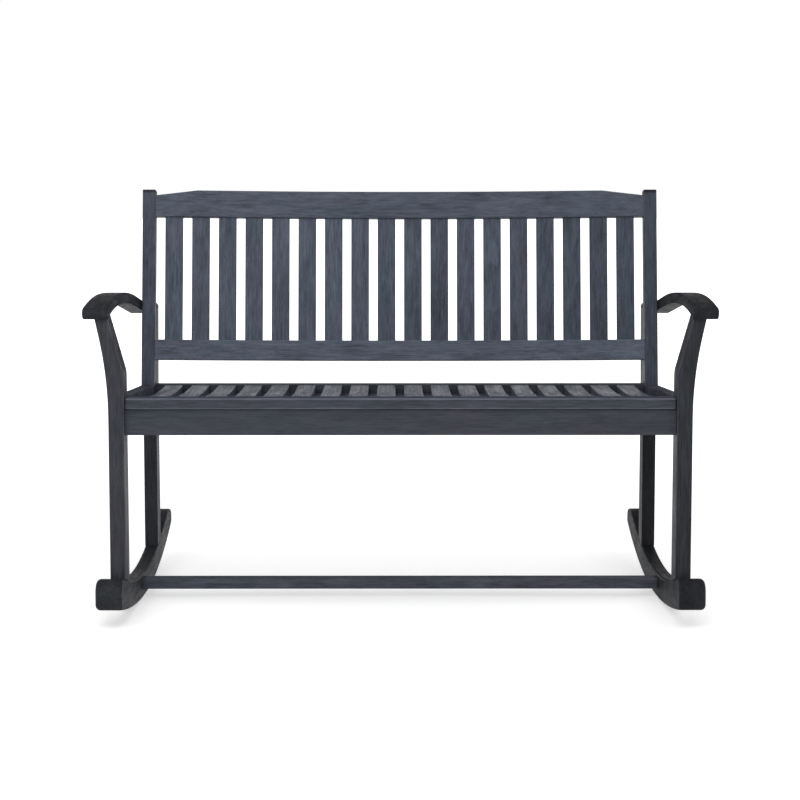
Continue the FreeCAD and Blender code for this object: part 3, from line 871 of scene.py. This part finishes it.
def screw_rings(length):
    """A wood screw from its point to its pan head, with a cross recess."""
    metal = bpy.context.scene.bench_hardware
    radius, head = metal.screw_radius, metal.screw_head_radius
    seat = length - metal.screw_head_height
    core = round_ring(radius * 0.8)
    pitch, thread_end, run_out, shoulder = 0.002, 0.024, 0.0007, 0.0004
    recess_depth = 0.0021
    rings = [(round_ring(0.0001), 0.0), (round_ring(radius * 0.35), 0.0015)]
    rings += thread_rings(radius * 0.7, radius * 0.25, pitch, start=0.0022, end=0.0042)
    rings += thread_rings(radius, radius * 0.32, pitch, start=0.005, end=thread_end)
    rings += [
        (core, thread_end + run_out),
        (core, seat - shoulder),
        (round_ring(radius), seat),
        (round_ring(head - SCREW_HEAD_CHAMFER), seat),
        (round_ring(head), seat + SCREW_HEAD_CHAMFER),
    ]
    # The pan's rings, by their share of the head's radius and how far they lie below its top.
    pan = ((1.0, 0.0015), (0.95, 0.0008), (0.83, 0.0003), (0.66, 0.0))
    rings += [(round_ring(head * share), length - below) for share, below in pan]
    rings += [
        (cross_ring(head * 0.52, half_width=0.00055), length),
        (cross_ring(head * 0.34, half_width=0.0004), length - recess_depth),
    ]
    return rings


def mesh_from(name, form):
    """Makes a mesh of the shape, and frees the shape."""
    mesh = bpy.data.meshes.new(name)
    form.to_mesh(mesh)
    form.free()
    return mesh


def put(name, data):
    """Links a new object that shows this mesh, lamp or camera."""
    thing = bpy.data.objects.new(name, data)
    bpy.context.scene.collection.objects.link(thing)
    return thing


def without(whole_form, cutter_form):
    """The mesh of the first shape with the second cut away."""
    whole = put("whole", mesh_from("whole", whole_form))
    cutter = put("cutter", mesh_from("cutter", cutter_form))
    cut = whole.modifiers.new("cut", "BOOLEAN")
    cut.operation = "DIFFERENCE"
    cut.solver = "EXACT"
    cut.object = cutter
    bpy.context.view_layer.update()
    evaluated = whole.evaluated_get(bpy.context.evaluated_depsgraph_get())
    result = bpy.data.meshes.new_from_object(evaluated)
    for part in (whole, cutter):
        mesh = part.data
        bpy.data.objects.remove(part)
        bpy.data.meshes.remove(mesh)
    return result


def barrel_nut(length):
    """A barrel nut with chamfered ends, its cross hole along X, and a slot along the hole."""
    metal = bpy.context.scene.bench_hardware
    radius = metal.bolt_head_radius
    body_form = bmesh.new()
    turned(body_form, [
        (round_ring(radius - NUT_CHAMFER), 0.0),
        (round_ring(radius), NUT_CHAMFER),
        (round_ring(radius), length - NUT_CHAMFER),
        (round_ring(radius - NUT_CHAMFER), length),
    ], segments=40, place=Matrix.Identity(4))
    cutter = bmesh.new()
    beside = Matrix.Translation((-2 * radius, 0.0, length / 2))
    across = beside @ Matrix.Rotation(math.pi / 2, 4, "Y")
    hole = round_ring(metal.bolt_radius)
    turned(cutter, [(hole, 0.0), (hole, 4 * radius)], segments=32, place=across)
    slot_width, slot_depth = 0.0014, 0.0022
    slot_sizes = Matrix.Diagonal((4 * radius, slot_width, 2 * slot_depth, 1.0))
    slot = Matrix.Translation((0.0, 0.0, length)) @ slot_sizes
    bmesh.ops.create_cube(cutter, size=1.0, matrix=slot)
    return without(body_form, cutter)


def metal_material(name, colour, metallic, bare):
    """Steel with small cloudy stains, fine scratches and scuffs that show the bare metal."""
    material, tree = new_material(name)
    place = add_node(tree, "ShaderNodeTexCoord").outputs["Object"]
    clouds = noise(tree, place, CLOUD_SIZE, detail=3.0)
    scuffs = ranged(tree, noise(tree, place, SCUFF_SIZE, detail=4.0), *SCUFF_RANGE)
    drawn_out = stretched(tree, place, along=0.06)
    scratches = noise(tree, drawn_out, SCRATCH_SIZE, detail=2.0, roughness=0.5)
    shade = ranged(tree, clouds, *CLOUD_RANGE, *CLOUD_SHADES)
    clouded = scaled(tree, tuple(colour), shade)
    relief = computed(tree, "ADD", scratches, product(tree, clouds, 0.5))
    bump = add_node(tree, "ShaderNodeBump", {
        "Height": relief,
        "Strength": 0.25,
        "Distance": SCRATCH_DEPTH,
    }).outputs["Normal"]
    surface = add_node(tree, "ShaderNodeBsdfPrincipled", {
        "Base Color": mixed(tree, product(tree, scuffs, bare), clouded, BARE_STEEL),
        "Metallic": metallic,
        "Roughness": ranged(tree, scratches, *SCRATCH_RANGE, *STEEL_ROUGHNESS),
        "Normal": bump,
    }).outputs["BSDF"]
    add_node(tree, "ShaderNodeOutputMaterial", {"Surface": surface})
    return material


def place_hardware(name, form, node, material):
    """Makes one piece of the finished shapes, in place of the CAD node."""
    mesh = mesh_from(name, form)
    mesh.shade_smooth()
    mesh.set_sharp_from_angle(angle=SHARP_EDGE_ANGLE)
    mesh.materials.append(material)
    piece = put(name, mesh)
    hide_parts(node)
    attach(piece, body)


class BENCH_OT_bolts(Operator):
    """Put detailed socket bolts where the CAD bolts are"""

    bl_idname = "bench.bolts"
    bl_label = "Frame Bolts"

    def execute(self, context):
        form = bmesh.new()
        for points in solids_in("frame_bolts"):
            place, length = seat_of(points)
            turned(form, bolt_rings(length), segments=24, place=place)
        colour = context.scene.bench_hardware.bolt_colour
        black = metal_material("black bolt steel", colour, metallic=0.6, bare=0.35)
        place_hardware("socket_bolts", form, "frame_bolts", black)
        return {"FINISHED"}


class BENCH_OT_barrel_nuts(Operator):
    """Put detailed barrel nuts where the CAD nuts are"""

    bl_idname = "bench.barrel_nuts"
    bl_label = "Barrel Nuts"

    def execute(self, context):
        form = bmesh.new()
        for points in solids_in("barrel_nuts"):
            place, length = seat_of(points, open_side=(0.0, 1.0, -1.0))
            nut = barrel_nut(length)
            nut.transform(place)
            form.from_mesh(nut)
            bpy.data.meshes.remove(nut)
        colour = context.scene.bench_hardware.zinc_colour
        zinc = metal_material("zinc plated nut steel", colour, metallic=1.0, bare=0.0)
        place_hardware("slotted_barrel_nuts", form, "barrel_nuts", zinc)
        return {"FINISHED"}


class BENCH_OT_screws(Operator):
    """Put detailed wood screws where the CAD screws are"""

    bl_idname = "bench.screws"
    bl_label = "Wood Screws"

    def execute(self, context):
        form = bmesh.new()
        for points in solids_in("wood_screws"):
            place, length = seat_of(points)
            turned(form, screw_rings(length), segments=16, place=place)
        colour = context.scene.bench_hardware.zinc_colour
        zinc = metal_material("zinc plated screw steel", colour, metallic=1.0, bare=0.0)
        place_hardware("cross_head_screws", form, "wood_screws", zinc)
        return {"FINISHED"}


# The stage

WHITE = (1.0, 1.0, 1.0, 1.0)
FLOOR_HALF_SIZE = 90.0
# The floor lies this far below the rockers' soles, so that the two never share a plane.
FLOOR_DROP = 0.0005
# The floor's own white rises to its full strength between these distances from the bench.
FLOOR_LIFT_RISE = (1.3, 3.0)
# The upward parts of a reflected direction between which the white backdrop gives way to the
# ceiling.
BACKDROP_FADE = (0.18, 0.45)
LAMP_SIZE = 1.8
LAMP_AIM = (0.0, 0.0, 0.6)


def floor_material(stage):
    """A pale floor that keeps the bench's shadow, and shows white further off."""
    material, tree = new_material("pale floor")
    path = add_node(tree, "ShaderNodeLightPath").outputs
    place = add_node(tree, "ShaderNodeTexCoord").outputs["Object"]
    away = add_node(tree, "ShaderNodeVectorMath", {0: place}, operation="LENGTH").outputs["Value"]
    colour = (*stage.floor_colour, 1.0)
    matt = add_node(tree, "ShaderNodeBsdfDiffuse", {"Color": colour}).outputs[0]
    seen = largest(tree, path["Is Camera Ray"], path["Is Transmission Ray"], path["Is Glossy Ray"])
    lift = product(tree, seen, ranged(tree, away, *FLOOR_LIFT_RISE, stage.floor_lift, 1.0))
    white = add_node(tree, "ShaderNodeEmission", {"Color": WHITE, "Strength": lift}).outputs[0]
    both_shaders = add_node(tree, "ShaderNodeAddShader", {0: matt, 1: white}).outputs[0]
    add_node(tree, "ShaderNodeOutputMaterial", {"Surface": both_shaders})
    return material


def lay_floor(stage):
    form = bmesh.new()
    bmesh.ops.create_grid(form, x_segments=8, y_segments=8, size=FLOOR_HALF_SIZE)
    mesh = mesh_from("floor", form)
    mesh.materials.append(floor_material(stage))
    floor = put("floor", mesh)
    floor.location.z = -FLOOR_DROP


def facing(tree, part, sign):
    """How far a direction points along one axis: that part squared, or 0 where it points away."""
    ahead = computed(tree, "MAXIMUM", product(tree, part, sign), 0.0)
    return product(tree, ahead, ahead)


def studio_world(stage):
    """Pale walls and a ceiling that light matt surfaces, and a white backdrop.

    The camera sees only the backdrop. Gloss shows it too, with the ceiling above it.
    """
    world = bpy.data.worlds.new("studio surround")
    world.use_nodes = True
    tree = world.node_tree
    tree.nodes.clear()
    parts = parts_of(tree, add_node(tree, "ShaderNodeTexCoord").outputs["Generated"])
    path = add_node(tree, "ShaderNodeLightPath").outputs
    studio = 0.0
    for part, sign, wall in (
        ("X", 1.0, stage.right_level),
        ("X", -1.0, stage.left_level),
        ("Y", 1.0, stage.rear_level),
        ("Z", 1.0, stage.ceiling_level),
    ):
        lit = product(tree, facing(tree, parts[part], sign), wall)
        studio = computed(tree, "ADD", studio, lit)
    seen = largest(tree, path["Is Camera Ray"], path["Is Transmission Ray"])
    backdrop = ranged(tree, parts["Z"], *BACKDROP_FADE, 1.0, stage.ceiling_reflection)
    shown = largest(tree, seen, product(tree, path["Is Glossy Ray"], backdrop))
    matt_ray = computed(tree, "SUBTRACT", 1.0, largest(tree, seen, path["Is Glossy Ray"]))
    level = computed(tree, "ADD", shown, product(tree, matt_ray, studio))
    light = add_node(tree, "ShaderNodeBackground", {"Color": WHITE, "Strength": level}).outputs[0]
    add_node(tree, "ShaderNodeOutputWorld", {"Surface": light})
    return world


def area_lamp(name, place, watts):
    """A square lamp that points at the bench."""
    data = bpy.data.lights.new(name, "AREA")
    data.shape = "RECTANGLE"
    data.size = data.size_y = LAMP_SIZE
    data.energy = watts
    lamp = put(name, data)
    lamp.location = place
    aim = Vector(LAMP_AIM) - Vector(place)
    lamp.rotation_euler = aim.to_track_quat("-Z", "Y").to_euler()


def place_camera(stage):
    data = bpy.data.cameras.new("camera")
    data.sensor_fit = "HORIZONTAL"
    data.sensor_width = 36.0
    data.lens = stage.lens_length
    data.clip_start = 0.05
    data.clip_end = 200.0
    camera = put("camera", data)
    camera.location = (stage.camera_side, -stage.camera_distance, stage.camera_height)
    camera.rotation_euler = (math.pi / 2 - stage.camera_pitch, 0.0, -stage.camera_turn)
    bpy.context.scene.camera = camera


class BENCH_OT_stage(Operator):
    """Lay the floor, light the studio and place the camera"""

    bl_idname = "bench.stage"
    bl_label = "Stage"

    def execute(self, context):
        scene = context.scene
        stage = scene.bench_stage
        scene.view_settings.view_transform = "Standard"
        lay_floor(stage)
        scene.world = studio_world(stage)
        area_lamp("high lamp", (0.0, -2.6, 3.2), watts=24.0)
        area_lamp("left lamp", (-0.9, -2.9, 2.1), watts=28.0)
        place_camera(stage)
        return {"FINISHED"}


# The sidebar's panel and the run


STEPS = (
    BENCH_OT_rockers,
    BENCH_OT_legs,
    BENCH_OT_arms,
    BENCH_OT_seat,
    BENCH_OT_back,
    BENCH_OT_bolts,
    BENCH_OT_barrel_nuts,
    BENCH_OT_screws,
    BENCH_OT_stage,
)


class BENCH_PT_panel(Panel):
    """Lists the steps and the sizes and colours that they read"""

    bl_idname = "BENCH_PT_panel"
    bl_label = "Rocking Bench"
    bl_space_type = "VIEW_3D"
    bl_region_type = "UI"
    bl_category = "Bench"

    def draw(self, context):
        layout, scene = self.layout, context.scene
        for step in STEPS:
            layout.operator(step.bl_idname)
        for group in (scene.bench_stain, scene.bench_hardware, scene.bench_stage):
            box = layout.box()
            for name in group.__annotations__:
                box.prop(group, name)


CLASSES = (StainSettings, HardwareSettings, StageSettings, *STEPS, BENCH_PT_panel)


def register():
    for cls in CLASSES:
        bpy.utils.register_class(cls)
    bpy.types.Scene.bench_stain = PointerProperty(type=StainSettings)
    bpy.types.Scene.bench_hardware = PointerProperty(type=HardwareSettings)
    bpy.types.Scene.bench_stage = PointerProperty(type=StageSettings)


def unregister():
    del bpy.types.Scene.bench_stage
    del bpy.types.Scene.bench_hardware
    del bpy.types.Scene.bench_stain
    for cls in reversed(CLASSES):
        bpy.utils.unregister_class(cls)


def main():
    register()
    bpy.ops.bench.rockers()
    bpy.ops.bench.legs()
    bpy.ops.bench.arms()
    bpy.ops.bench.seat()
    bpy.ops.bench.back()
    bpy.ops.bench.bolts()
    bpy.ops.bench.barrel_nuts()
    bpy.ops.bench.screws()
    bpy.ops.bench.stage()


if __name__ == "__main__":
    main()
